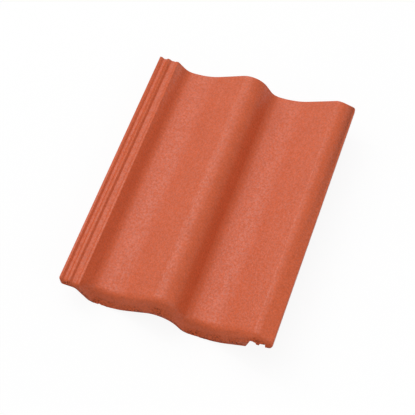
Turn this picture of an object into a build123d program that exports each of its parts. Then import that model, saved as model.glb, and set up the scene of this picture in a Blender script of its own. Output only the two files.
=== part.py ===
from build123d import *
import math
import os

# All sizes are in millimetres and all angles in degrees.
# The tile lies as it would on a level floor. The foot at the eaves end is towards -Y and the head
# end towards +Y. The sketches are drawn in the XZ plane, as cuts across the tile. Positions across
# are taken from the tile's left side, and heights from the bottom of the pans' top side.

# Whole tile
tile_length = 420.0
wall = 12.0  # thickness of the wave and of the overlock
foot_depth = 28.0  # from the bottom of the pans down to the floor

# Wave, which runs on from tile to tile at this pitch, with two rolls on each tile
wave_pitch = 150.0
steep_start = 46.0  # where a steep flank would meet the level of the left pan
gentle_start = 84.0  # where the gentle flank would meet it
gentle_angle = 28.5
steep_angle = 60.0
pan_radius = 90.0
heel_radius = 18.0  # at the foot of the steep flank
crest_radius = 30.0

# Overlock, which ends the right roll and lies over the next tile's water lock
side_lap = 30.0
overlock_level = 36.1  # top of the right roll above the pans
bend_reach = 8.4  # how far past the cover width the top begins to fall to the side
side_fall = 18.1
bend_radius = 18.0
kink_radius = 8.0
side_radius = 3.0

# Water lock at the left side: outer rib, channel, middle rib, channel, shoulder
lock_wall = 9.0  # thickness under the channels
channel_level = 18.4  # floor of the channels above the pans
rib_height = 3.0
outer_rib = 3.6
rib_slope = 3.0  # width of a rib's sloping side
outer_channel = 4.0
middle_rib = 3.4
inner_channel = 7.0
shoulder_height = 1.6
shoulder_slope = 2.0
shoulder = 3.2
shoulder_angle = 51.0
lock_radius = 1.0

# Ribs under the overlock, which reach into the channels of the next tile's water lock
lock_clearance = 1.0
groove_height = 4.6  # from the ribs' bottom up to the roof of the groove between them
key_draft = 1.0  # width of a rib's sloping side
key_radius = 1.0  # at the ribs' lower edges

# Nose, the rounded and leaning front: how far behind the front it starts in each region
pan_nose = 20.0
roll_nose = 16.0
overlock_nose = 12.0
lock_nose = 6.5
nose_radius = 12.0
nose_share = 0.8  # a short nose has a radius of this share of its length
nose_lean = 24.0  # the front leans back from upright by this much
front_pan_radius = 70.0  # the pans and heels tighten towards the front
front_heel_radius = 16.0
front_corner_radius = 6.0  # both front corners, seen from above
head_corner_radius = 4.0  # the overlock's corner at the head
pan_cuts = 6  # steps that the nose is built in, round the pans' arc and round the lock's
lock_cuts = 3

# Foot and weather bar under the eaves end
foot_length = 30.0
foot_side_angle = 64.0
foot_top_radius = 8.0  # where the foot's left end meets the water lock
foot_side_radius = 13.0
arch_inset = 2.5  # the arch under the roll is this much narrower than the roll, at its steep side
arch_radius = 34.0
rise_inset = 7.0  # the rise under the right roll starts this much further to the right than the roll
foot_gap = 9.0  # from the foot's right end to the cover width, at its bottom
foot_end_slope = 6.0
foot_end_radius = 4.0
bar_gap = 16.0
bar_length = 12.0

# Nibs under the head end, which hook over the batten
nib_width = 36.0
nib_length = 15.0
nib_inset = 10.0
nib_corner = 2.5
nib_chamfer = 1.5

# Allowance for cuts to run past what they cut
past = 5.0

cover_width = 2 * wave_pitch
tile_width = cover_width + side_lap
left = -tile_width / 2
right = tile_width / 2
front = -tile_length / 2
head = tile_length / 2


def slope(angle):
    return math.tan(math.radians(angle))


def point(across, height):
    """A point of a cut, from the left side and the level of the pans."""
    return (left + across, foot_depth + height)


def meet(x1, angle1, z1, x2, angle2, z2):
    """Where two sloping lines cross, each given by a point on it and its angle."""
    x = (z2 - z1 + slope(angle1) * x1 - slope(angle2) * x2) / (slope(angle1) - slope(angle2))
    return x, z1 + slope(angle1) * (x - x1)


# Positions across the water lock
outer_floor = outer_rib + rib_slope
middle_start = outer_floor + outer_channel + rib_slope
inner_floor = middle_start + middle_rib + rib_slope
shoulder_start = inner_floor + inner_channel + shoulder_slope
shoulder_end = shoulder_start + shoulder
rib_level = channel_level + rib_height
shoulder_level = channel_level + shoulder_height
lock_under = channel_level - lock_wall

# Positions along the wave and overlock
left_heel = shoulder_end + shoulder_level / slope(shoulder_angle)
right_heel = steep_start + wave_pitch
crest_x, crest_z = meet(gentle_start, gentle_angle, 0, right_heel, -steep_angle, 0)
right_start = gentle_start + wave_pitch
kink_x = right_start + overlock_level / slope(gentle_angle)
side_level = overlock_level - (side_lap - bend_reach) * slope(side_fall)
overlock_roof = overlock_level - wall

# Corners of the top line from left to right: position, height, rounding, where the nose starts
# and rounding at the front
top_corners = [
    (0, rib_level, lock_radius, lock_nose, lock_radius),
    (outer_rib, rib_level, lock_radius, lock_nose, lock_radius),
    (outer_floor, channel_level, lock_radius, lock_nose, lock_radius),
    (outer_floor + outer_channel, channel_level, lock_radius, lock_nose, lock_radius),
    (middle_start, rib_level, lock_radius, lock_nose, lock_radius),
    (middle_start + middle_rib, rib_level, lock_radius, lock_nose, lock_radius),
    (inner_floor, channel_level, lock_radius, lock_nose, lock_radius),
    (inner_floor + inner_channel, channel_level, lock_radius, lock_nose, lock_radius),
    (shoulder_start, shoulder_level, lock_radius, lock_nose, lock_radius),
    (shoulder_end, shoulder_level, lock_radius, lock_nose, lock_radius),
    (left_heel, 0, heel_radius, pan_nose, front_heel_radius),
    (gentle_start, 0, pan_radius, pan_nose, front_pan_radius),
    (crest_x, crest_z, crest_radius, roll_nose, crest_radius),
    (right_heel, 0, heel_radius, pan_nose, front_heel_radius),
    (right_start, 0, pan_radius, pan_nose, front_pan_radius),
    (kink_x, overlock_level, kink_radius, overlock_nose, kink_radius),
    (cover_width + bend_reach, overlock_level, bend_radius, overlock_nose, bend_radius),
    (tile_width, side_level, side_radius, overlock_nose, side_radius),
]

# Underside of the overlock, with its ribs placed over the channels of the next tile: position,
# height and rounding
key_level = channel_level + lock_clearance
first_key = cover_width + outer_floor
first_key_end = first_key + outer_channel
second_key = cover_width + inner_floor
second_key_end = second_key + inner_channel
overlock_corners = [
    (first_key - key_draft, overlock_roof, 0),
    (first_key, key_level, key_radius),
    (first_key_end, key_level, key_radius),
    (first_key_end + key_draft, key_level + groove_height, 0),
    (second_key - key_draft, key_level + groove_height, 0),
    (second_key, key_level, key_radius),
    (second_key_end, key_level, key_radius),
    (second_key_end + key_draft, shoulder_level + lock_clearance, 0),
    (tile_width, shoulder_level + lock_clearance, 0),
]


def wave_underside():
    """Corners of the wall's underside, a wall below the top line square to it, with radii."""
    inner = shoulder_end - wall / math.sin(math.radians(shoulder_angle))
    gentle = gentle_start + wall / math.sin(math.radians(gentle_angle))
    steep = right_heel - wall / math.sin(math.radians(steep_angle))
    return [
        (0, lock_under, 0),
        (*meet(0, 0, lock_under, inner, -shoulder_angle, shoulder_level), 0),
        (*meet(inner, -shoulder_angle, shoulder_level, 0, 0, -wall), heel_radius + wall),
        (*meet(gentle, gentle_angle, 0, 0, 0, -wall), pan_radius + wall),
        (*meet(gentle, gentle_angle, 0, steep, -steep_angle, 0), crest_radius - wall),
        (*meet(steep, -steep_angle, 0, 0, 0, -wall), heel_radius + wall),
        (*meet(gentle + wave_pitch, gentle_angle, 0, 0, 0, -wall), pan_radius + wall),
        (*meet(gentle + wave_pitch, gentle_angle, 0, 0, 0, overlock_roof), 0),
    ]


def wall_section():
    """The cut across the tile away from its foot."""
    under = wave_underside() + overlock_corners
    with BuildSketch() as section:
        with BuildLine():
            FilletPolyline(
                point(0, lock_under),
                *[point(corner[0], corner[1]) for corner in top_corners],
                point(tile_width, shoulder_level + lock_clearance),
                radius=[corner[2] for corner in top_corners],
            )
            FilletPolyline(
                *[point(x, z) for x, z, r in under], radius=[r for x, z, r in under[1:-1]]
            )
        make_face()
    return section.sketch


def nose_drop(behind, start):
    """How far the nose lies under the top line, at a distance behind the front."""
    steepest = math.radians(90 - nose_lean)
    radius = min(nose_radius, start * nose_share)
    run = start - behind
    if run <= 0:
        return 0
    if run <= radius * math.sin(steepest):
        return radius - math.sqrt(radius**2 - run**2)
    arc_drop = radius * (1 - math.cos(steepest))
    return arc_drop + (run - radius * math.sin(steepest)) * math.tan(steepest)


def block_section(behind, sunk=0.0):
    """The cut across a solid block under the nose and top line, which is hollowed afterwards."""
    points = []
    radii = []
    for x, z, r, nose, front_r in top_corners:
        drop = nose_drop(behind, nose)
        points.append(point(x, z - drop - sunk))
        radii.append(r + (front_r - r) * drop / nose_drop(0, nose))
    with BuildSketch() as section:
        with BuildLine():
            top = FilletPolyline((left, -past), *points, (right, -past), radius=radii)
            Line(top @ 1, top @ 0)
        make_face()
    return section.sketch


def foot_cutter():
    """All that is open under the foot: the wave of the tile below, and room for both locks."""
    inner = shoulder_end - wall / math.sin(math.radians(shoulder_angle))
    foot_start = meet(0, 0, lock_under, inner, -shoulder_angle, shoulder_level)[0]
    foot_bottom = foot_start + (lock_under + foot_depth) / slope(foot_side_angle)
    arch_end = right_heel - arch_inset
    arch_x, arch_z = meet(gentle_start, gentle_angle, -foot_depth, arch_end, -steep_angle, -foot_depth)
    rise_start = right_start + rise_inset
    end_x = cover_width - foot_gap
    end_z = (end_x - rise_start) * slope(gentle_angle) - foot_depth
    corners = [
        (foot_start, lock_under, foot_top_radius),
        (foot_bottom, -foot_depth, foot_side_radius),
        (gentle_start, -foot_depth, pan_radius),
        (arch_x, arch_z, arch_radius),
        (arch_end, -foot_depth, heel_radius),
        (rise_start, -foot_depth, pan_radius),
        (end_x, end_z, foot_end_radius),
        (end_x + foot_end_slope, overlock_roof, foot_end_radius),
        *overlock_corners,
    ]
    with BuildSketch() as section:
        with BuildLine():
            low = FilletPolyline(
                point(-past, lock_under),
                *[point(x, z) for x, z, r in corners],
                point(tile_width + past, shoulder_level + lock_clearance),
                radius=[r for x, z, r in corners],
            )
            Polyline(
                low @ 1,
                (right + past, -2 * past),
                (left - past, -2 * past),
                low @ 0,
            )
        make_face()
    return section.sketch


# Distances behind the front at which the nose is cut, evenly round both arcs
steepest = math.radians(90 - nose_lean)
stations = [pan_nose - nose_radius * math.sin(steepest * i / pan_cuts) for i in range(pan_cuts + 1)]
stations += [
    lock_nose * (1 - nose_share * math.sin(steepest * i / lock_cuts)) for i in range(lock_cuts + 1)
]
stations += [0]

# Corners rounded as seen from above: where they are, which way the tile lies, and the radius
plan_corners = [
    (left, front, 1, 1, front_corner_radius),
    (right, front, -1, 1, front_corner_radius),
    (right, head, -1, -1, head_corner_radius),
]

with BuildPart() as roof_tile:
    # Nose, from its start in the pans forwards to the front
    for behind in sorted(stations, reverse=True):
        with BuildSketch(Plane.XZ.offset(-(front + behind))):
            add(block_section(behind))
    loft(ruled=True)
    # Foot and weather bar
    with BuildSketch(Plane.XZ.offset(-(front + foot_length))):
        add(block_section(foot_length))
    extrude(amount=foot_length - pan_nose)
    bar_front = front + foot_length + bar_gap
    with BuildSketch(Plane.XZ.offset(-(bar_front + bar_length))):
        add(block_section(foot_length, wall / 2))
    extrude(amount=bar_length)
    with BuildSketch(Plane.XZ.offset(-(bar_front + bar_length + past))):
        add(foot_cutter())
    extrude(amount=foot_length + bar_gap + bar_length + 2 * past, mode=Mode.SUBTRACT)
    # Wave and side locks behind the foot
    with BuildSketch(Plane.XZ.offset(-head)):
        add(wall_section())
    extrude(amount=tile_length - foot_length)
    # Nibs under both pans
    pan_middle = left + (left_heel + gentle_start) / 2
    nib_y = head - nib_inset - nib_length / 2
    with BuildSketch(Plane.XY):
        with Locations((pan_middle, nib_y), (pan_middle + wave_pitch, nib_y)):
            RectangleRounded(nib_width, nib_length, nib_corner)
    extrude(amount=foot_depth - wall / 2)
    bottoms = roof_tile.faces().filter_by(Plane.XY).group_by(Axis.Z)[0]
    chamfer(bottoms.filter_by_position(Axis.Y, 0, head).edges(), nib_chamfer)
    # Rounded corners, as seen from above
    with BuildSketch():
        for x, y, turn_x, turn_y, radius in plan_corners:
            with Locations((x + turn_x * (radius - past) / 2, y + turn_y * (radius - past) / 2)):
                Rectangle(radius + past, radius + past)
            with Locations((x + turn_x * radius, y + turn_y * radius)):
                Circle(radius, mode=Mode.SUBTRACT)
    extrude(amount=foot_depth + crest_z, mode=Mode.SUBTRACT)

roof_tile.part.label = "roof_tile"

os.makedirs("parts", exist_ok=True)
export_step(roof_tile.part, "parts/roof_tile.step")
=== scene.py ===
import math

import bmesh
import bpy
from mathutils import Matrix, Vector, noise


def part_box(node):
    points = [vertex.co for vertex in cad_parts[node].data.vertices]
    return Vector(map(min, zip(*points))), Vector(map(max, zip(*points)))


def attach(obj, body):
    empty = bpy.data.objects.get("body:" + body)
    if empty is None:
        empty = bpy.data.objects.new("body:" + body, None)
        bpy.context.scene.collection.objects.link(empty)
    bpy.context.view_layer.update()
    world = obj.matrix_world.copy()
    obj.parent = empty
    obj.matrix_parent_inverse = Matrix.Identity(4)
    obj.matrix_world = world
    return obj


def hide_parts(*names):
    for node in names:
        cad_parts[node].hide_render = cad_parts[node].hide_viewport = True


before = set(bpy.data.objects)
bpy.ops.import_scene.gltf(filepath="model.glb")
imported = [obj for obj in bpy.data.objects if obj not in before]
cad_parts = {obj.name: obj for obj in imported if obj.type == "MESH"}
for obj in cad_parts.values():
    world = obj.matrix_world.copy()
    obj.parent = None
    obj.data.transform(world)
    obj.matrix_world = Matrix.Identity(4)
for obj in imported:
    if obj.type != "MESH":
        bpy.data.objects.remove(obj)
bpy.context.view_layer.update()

MM = 0.001


def linear(text):
    """An sRGB hex colour as linear red, green, blue and alpha."""
    values = [int(text[i : i + 2], 16) / 255 for i in (1, 3, 5)]
    return [v / 12.92 if v <= 0.04045 else ((v + 0.055) / 1.055) ** 2.4 for v in values] + [1.0]


def node(tree, kind, inputs=None, **settings):
    """Adds a node. Each input is given a number, a colour or another node's output."""
    new = tree.nodes.new(kind)
    for name, value in settings.items():
        setattr(new, name, value)
    for name, value in (inputs or {}).items():
        if isinstance(value, bpy.types.NodeSocket):
            tree.links.new(value, new.inputs[name])
        else:
            new.inputs[name].default_value = value
    return new


def empty_material(name):
    """A material with only its output node."""
    material = bpy.data.materials.new(name)
    material.use_nodes = True
    material.node_tree.nodes.clear()
    return material, material.node_tree, material.node_tree.nodes.new("ShaderNodeOutputMaterial")


# Body of the tile, from the solid's own mesh

tile_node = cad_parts["roof_tile"]
low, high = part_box("roof_tile")

weld = 0.01 * MM  # corners nearer to each other than this are one
crease = math.radians(24)  # edges sharper than this stay sharp
worn_crease = math.radians(40)  # and on the worn mesh, edges sharper than this
nose_end = low[1] + 12 * MM  # all the wear lies in front of this
nose_cell = 1.8 * MM  # the front is cut this finely before its last subdivision

# Where the front is worn: on faces that look forwards or down, as far back as wear_end
worn_to = low[1] + 2.5 * MM
wear_end = low[1] + 7 * MM
forwards = (0.8, 0.97)  # how far forwards a face looks, from no wear to full wear
downwards = (0.1, 0.5)
between_patches = 0.4  # share of the wear that all of the front has
patch_size = 16 * MM  # pits come in patches of about this size
patch_noise = (-0.3, 0.3)
pit_size = 4.5 * MM
pit_noise = (0.0, 0.45)
pit_depth = 1.3 * MM  # deepest pits in the lower front
even_shading = 0.05  # faces worn less than this are shaded as the uncut mesh is

# The foot's lower edge, crumbled and chipped
foot_left = low[0] + 31 * MM  # end of the water lock
foot_right = high[0] - 45 * MM
lip_depth = 1.1 * MM
lip_size = 4 * MM
lip_noise = (-0.4, 0.6)
lip_level = 30 * MM  # the height at which the edge reads its noise
lip_reach = 6 * MM  # how far back and up the crumbling goes
nick_x = low[0] + 60 * MM  # a small chip, near the foot's left end
nick_width = 3.0 * MM
nick_depth = 3.6 * MM

# Clear sealer, sprayed from above, is thinner on faces that look forwards
sprayed_off = (0.3, 0.85)
sealer_lost = 0.6


def make_active(piece):
    """Selects this piece alone."""
    bpy.ops.object.select_all(action="DESELECT")
    piece.select_set(True)
    bpy.context.view_layer.objects.active = piece


def cut_evenly(axis, start, stop, step):
    """Cuts all that is not hidden by planes across one axis, a step apart."""
    cells = round((stop - start) / step)
    normal = [0.0, 0.0, 0.0]
    normal[axis] = 1.0
    for i in range(1, cells):
        point = [0.0, 0.0, 0.0]
        point[axis] = start + i * (stop - start) / cells
        bpy.ops.mesh.select_all(action="SELECT")
        bpy.ops.mesh.bisect(plane_co=point, plane_no=normal)


def ease(value, start, stop):
    """0 before start and 1 after stop, with a smooth rise between them."""
    t = min(1.0, max(0.0, (value - start) / (stop - start)))
    return t * t * (3 - 2 * t)


tile = tile_node.copy()
tile.data = tile_node.data.copy()
tile.name = "tile"
tile.parent = None
bpy.context.scene.collection.objects.link(tile)
tile.matrix_world = tile_node.matrix_world
make_active(tile)
bpy.ops.object.transform_apply(location=True, rotation=True, scale=True)
bpy.ops.object.mode_set(mode="EDIT")
bpy.ops.mesh.select_mode(type="FACE")
bpy.ops.mesh.select_all(action="SELECT")
bpy.ops.mesh.remove_doubles(threshold=weld)
bpy.ops.mesh.normals_make_consistent(inside=False)
bpy.ops.object.mode_set(mode="OBJECT")
bpy.ops.object.shade_smooth_by_angle(angle=crease)

# A copy that keeps the even shading of the uncut mesh
even = tile.copy()
even.data = tile.data.copy()
bpy.context.scene.collection.objects.link(even)

make_active(tile)
bpy.ops.object.mode_set(mode="EDIT")
bpy.ops.mesh.select_all(action="SELECT")
bpy.ops.mesh.bisect(plane_co=(0, nose_end, 0), plane_no=(0, 1, 0))

# The front gets a fine mesh, to carry its worn and pitted face
mesh = bmesh.from_edit_mesh(tile.data)
for face in mesh.faces:
    face.select_set(face.calc_center_median().y < nose_end)
bmesh.update_edit_mesh(tile.data)
bpy.ops.mesh.hide(unselected=True)
cut_evenly(0, low[0], high[0], nose_cell)
cut_evenly(1, low[1], nose_end, nose_cell)
cut_evenly(2, low[2], high[2], nose_cell)
bpy.ops.mesh.select_all(action="SELECT")
bpy.ops.mesh.quads_convert_to_tris()
bpy.ops.mesh.subdivide(number_cuts=1)
bpy.ops.mesh.reveal()
bpy.ops.object.mode_set(mode="OBJECT")

# Pits and wear go inwards only, deepest at the foot of the front face. The material reads how
# worn each place is, for its wear and for the painted shade of its pits, and how much sealer it
# has.
worn = tile.data.attributes.new("worn", "FLOAT", "POINT")
sealed = tile.data.attributes.new("sealed", "FLOAT", "POINT")
normals = [v.normal.copy() for v in tile.data.vertices]
for vertex, normal in zip(tile.data.vertices, normals):
    x, y, z = vertex.co
    near_front = 1 - ease(y, worn_to, wear_end)
    patch = ease(noise.noise(vertex.co / patch_size), *patch_noise)
    spread = between_patches + (1 - between_patches) * patch
    rough = ease(-normal.y, *forwards) * near_front * spread
    under = ease(-normal.z, *downwards) * near_front
    worn.data[vertex.index].value = max(rough, under)
    sealed.data[vertex.index].value = 1 - sealer_lost * ease(-normal.y, *sprayed_off)
    pit = ease(noise.noise(vertex.co / pit_size), *pit_noise)
    vertex.co -= normal * rough * pit_depth * pit
    # The lower edge is crumbled a little, and chipped in one place
    back = max(0.0, 1 - (y - low[1]) / lip_reach)
    crumb = lip_depth * ease(noise.noise(Vector((x, 0, lip_level)) / lip_size), *lip_noise)
    chip = nick_depth * max(0.0, 1 - ((x - nick_x) / nick_width) ** 2)
    if back > 0 and z < lip_reach and foot_left < x < foot_right:
        vertex.co.z += max(crumb, chip) * back * (1 - max(0.0, z) / lip_reach)

tile.data.materials.clear()
bpy.ops.object.shade_smooth_by_angle(angle=worn_crease)

# All that isn't worn is shaded as the uncut mesh was, so that its facets don't show
mesh = bmesh.new()
mesh.from_mesh(tile.data)
smooth = [
    v.index for v in mesh.verts if max(e.calc_face_angle(math.pi) for e in v.link_edges) < crease
]
mesh.free()
group = tile.vertex_groups.new(name="even")
group.add([i for i in smooth if worn.data[i].value < even_shading], 1.0, "REPLACE")
transfer = tile.modifiers.new("even", "DATA_TRANSFER")
transfer.object = even
transfer.use_loop_data = True
transfer.data_types_loops = {"CUSTOM_NORMAL"}
transfer.loop_mapping = "POLYINTERP_NEAREST"
transfer.vertex_group = "even"
bpy.ops.object.modifier_apply(modifier="even")
tile.vertex_groups.clear()
bpy.data.objects.remove(even)

# Concrete

cloud_size = 30 * MM
sand_size = 1.0 * MM
grit_size = 2.5 * MM  # the sand's coarser grains, drawn larger than real so that they show
shaded_pit_size = 2.6 * MM  # painted shade of pits, where sand has broken out of the worn front
blotch_size = 3.5 * MM  # patches of thicker and thinner sealer
sand_relief = 0.7 * MM

# Dense concrete, coloured through with iron oxide and faced with fine sand. The surface is matte
# and terracotta, with a fine grain that the eye reads as sand and faint clouds of colour.
concrete, tree, output = empty_material("concrete")
place = node(tree, "ShaderNodeTexCoord").outputs["Object"]
clouds = node(
    tree,
    "ShaderNodeTexNoise",
    {"Vector": place, "Scale": 1 / cloud_size, "Detail": 3.0, "Roughness": 0.55},
)
sand = node(
    tree,
    "ShaderNodeTexNoise",
    {"Vector": place, "Scale": 1 / sand_size, "Detail": 2.0, "Roughness": 0.6},
)
grit = node(
    tree,
    "ShaderNodeTexNoise",
    {"Vector": place, "Scale": 1 / grit_size, "Detail": 1.0, "Roughness": 0.5},
)
tone = node(tree, "ShaderNodeValToRGB", {"Fac": clouds.outputs["Fac"]})
tone.color_ramp.elements[0].position = 0.3
tone.color_ramp.elements[0].color = linear("#cb5b33")
tone.color_ramp.elements[1].position = 0.7
tone.color_ramp.elements[1].color = linear("#d05f37")
grains = node(
    tree,
    "ShaderNodeMath",
    {0: sand.outputs["Fac"], 1: grit.outputs["Fac"]},
    operation="ADD",
)
speck = node(
    tree,
    "ShaderNodeMapRange",
    {
        "Value": grains.outputs["Value"],
        "From Min": 0.6,
        "From Max": 1.4,
        "To Min": 0.8,
        "To Max": 1.2,
    },
)
faced = node(
    tree,
    "ShaderNodeMix",
    {0: 1.0, 6: tone.outputs["Color"], 7: speck.outputs["Result"]},
    data_type="RGBA",
    blend_type="MULTIPLY",
)

# Painted shade: dark specks stand in for shade in the worn front's pits, and the rest of it is
# painted a little darker
age = node(tree, "ShaderNodeAttribute", attribute_name="worn")
shaded_pit_noise = node(
    tree,
    "ShaderNodeTexNoise",
    {"Vector": place, "Scale": 1 / shaded_pit_size, "Detail": 1.0, "Roughness": 0.5},
)
shaded_pits = node(
    tree,
    "ShaderNodeMapRange",
    {
        "Value": shaded_pit_noise.outputs["Fac"],
        "From Min": 0.54,
        "From Max": 0.6,
        "To Min": 0.06,
        "To Max": 1.0,
    },
)
# Painted shade mask: wear times the shaded pits, with a faint darkening over all of the worn
# front and its lower edge
painted_pit_shade = node(
    tree,
    "ShaderNodeMath",
    {0: age.outputs["Fac"], 1: shaded_pits.outputs["Result"]},
    operation="MULTIPLY",
)
coloured = node(
    tree,
    "ShaderNodeMix",
    {0: painted_pit_shade.outputs["Value"], 6: faced.outputs[2], 7: linear("#481c12")},
    data_type="RGBA",
)
relief = node(
    tree,
    "ShaderNodeMath",
    {0: grains.outputs["Value"], 1: 0.5},
    operation="MULTIPLY",
)
bump = node(
    tree,
    "ShaderNodeBump",
    {"Height": relief.outputs["Value"], "Strength": 0.8, "Distance": sand_relief},
)

# A thin clear sealer gives the sanded face its soft sheen. It is broken up by the sand, is
# thinner on the front, and has worn off the lower part of it.
film_bump = node(
    tree,
    "ShaderNodeBump",
    {"Height": grit.outputs["Fac"], "Strength": 0.4, "Distance": sand_relief},
)
blotch = node(
    tree,
    "ShaderNodeTexNoise",
    {"Vector": place, "Scale": 1 / blotch_size, "Detail": 1.0, "Roughness": 0.5},
)
blotches = node(
    tree,
    "ShaderNodeMapRange",
    {
        "Value": blotch.outputs["Fac"],
        "From Min": 0.35,
        "From Max": 0.65,
        "To Min": 0.22,
        "To Max": 0.8,
    },
)
kept = node(
    tree,
    "ShaderNodeMapRange",
    {"Value": age.outputs["Fac"], "From Max": 0.6, "To Min": 1.0, "To Max": 0.0},
)
coated = node(tree, "ShaderNodeAttribute", attribute_name="sealed")
sprayed = node(
    tree,
    "ShaderNodeMath",
    {0: kept.outputs["Result"], 1: coated.outputs["Fac"]},
    operation="MULTIPLY",
)
film = node(
    tree,
    "ShaderNodeMath",
    {0: blotches.outputs["Result"], 1: sprayed.outputs["Value"]},
    operation="MULTIPLY",
)
gloss = node(
    tree,
    "ShaderNodeMapRange",
    {"Value": age.outputs["Fac"], "From Max": 0.4, "To Min": 0.2, "To Max": 0.12},
)
shader = node(
    tree,
    "ShaderNodeBsdfPrincipled",
    {
        "Base Color": coloured.outputs[2],
        "Roughness": 0.6,
        "Specular IOR Level": gloss.outputs["Result"],
        "Normal": bump.outputs["Normal"],
        "Coat Weight": film.outputs["Value"],
        "Coat Roughness": 0.38,
        "Coat Normal": film_bump.outputs["Normal"],
    },
)
tree.links.new(shader.outputs["BSDF"], output.inputs["Surface"])
tile.data.materials.append(concrete)

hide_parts("roof_tile")
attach(tile, "root")

# Floor

floor_width = 12.0  # metres

# Pale grey paper under the tile. The camera and glossy rays see it nearly white, with its shadow.
bpy.ops.mesh.primitive_plane_add(size=floor_width, location=(0, 0, 0))
floor = bpy.context.object
floor.name = "floor"
paper, tree, output = empty_material("paper")
rays = node(tree, "ShaderNodeLightPath")
seen = node(
    tree,
    "ShaderNodeMath",
    {0: rays.outputs["Is Camera Ray"], 1: rays.outputs["Is Glossy Ray"]},
    operation="MAXIMUM",
)
through = node(
    tree,
    "ShaderNodeMath",
    {0: seen.outputs["Value"], 1: rays.outputs["Is Transmission Ray"]},
    operation="MAXIMUM",
)
paper_colour = node(
    tree,
    "ShaderNodeMix",
    {0: through.outputs["Value"], 6: linear("#c4c4c4"), 7: linear("#ffffff")},
    data_type="RGBA",
)
matte = node(tree, "ShaderNodeBsdfDiffuse", {"Color": paper_colour.outputs[2]})
white = node(tree, "ShaderNodeEmission", {"Color": linear("#ffffff"), "Strength": 1.0})
# A tenth of the paper stays lit by the lamps, and that part takes the shadow
share = node(
    tree,
    "ShaderNodeMath",
    {0: through.outputs["Value"], 1: 0.9},
    operation="MULTIPLY",
)
both = node(
    tree,
    "ShaderNodeMixShader",
    {0: share.outputs["Value"], 1: matte.outputs["BSDF"], 2: white.outputs["Emission"]},
)
tree.links.new(both.outputs["Shader"], output.inputs["Surface"])
floor.data.materials.append(paper)

# Light

room_level = 0.48

world = bpy.data.worlds.new("room")
bpy.context.scene.world = world
world.use_nodes = True
world.node_tree.nodes.clear()
sky = node(
    world.node_tree,
    "ShaderNodeBackground",
    {"Color": linear("#ffffff"), "Strength": room_level},
)
world_out = world.node_tree.nodes.new("ShaderNodeOutputWorld")
world.node_tree.links.new(sky.outputs["Background"], world_out.inputs["Surface"])


def lamp(name, place, length, width, along, level):
    """A soft lamp at place, turned to the tile, its length along a direction. Level 1 gives a
    facing surface there its own colour."""
    data = bpy.data.lights.new(name, "AREA")
    data.shape = "ELLIPSE"
    data.size = length
    data.size_y = width
    back = Vector(place)
    data.energy = level * math.pi * math.pi * back.length_squared
    back.normalize()
    side = (Vector(along) - Vector(along).dot(back) * back).normalized()
    turn = Matrix((side, back.cross(side), back)).transposed().to_4x4()
    obj = bpy.data.objects.new(name, data)
    obj.matrix_world = Matrix.Translation(place) @ turn
    bpy.context.scene.collection.objects.link(obj)


lamp("key", place=(-3.0, 2.7, 6.9), length=10.0, width=10.0, along=(1, 0, 0), level=0.575)
# A narrow lamp that draws the sheen's streaks along the rolls
lamp("strip", place=(-1.84, 1.12, 2.27), length=2.2, width=0.2, along=(0.78, 0, 0.63), level=0.12)
# Lifts the front, which the others leave dark
lamp("fill", place=(0.9, -0.6, 0.8), length=0.6, width=0.6, along=(1, 0, 0), level=0.08)

# Camera, at the photograph's viewing angle

focal_length = 94.0  # mm, for a sensor 36 mm wide
sensor_width = 36.0
camera_place = (0.3036, -0.7253, 1.4995)
right = Vector((0.94027, 0.33892, -0.03202))
down = Vector((0.28649, -0.83858, -0.46337))
ahead = Vector((-0.18389, 0.42652, -0.88559))

camera_data = bpy.data.cameras.new("camera")
camera_data.lens = focal_length
camera_data.sensor_width = sensor_width
camera = bpy.data.objects.new("camera", camera_data)
turn = Matrix((right, -down, -ahead)).transposed().to_4x4()
camera.matrix_world = Matrix.Translation(camera_place) @ turn
bpy.context.scene.collection.objects.link(camera)
bpy.context.scene.camera = camera
bpy.context.scene.view_settings.view_transform = "Standard"

bpy.context.view_layer.update()
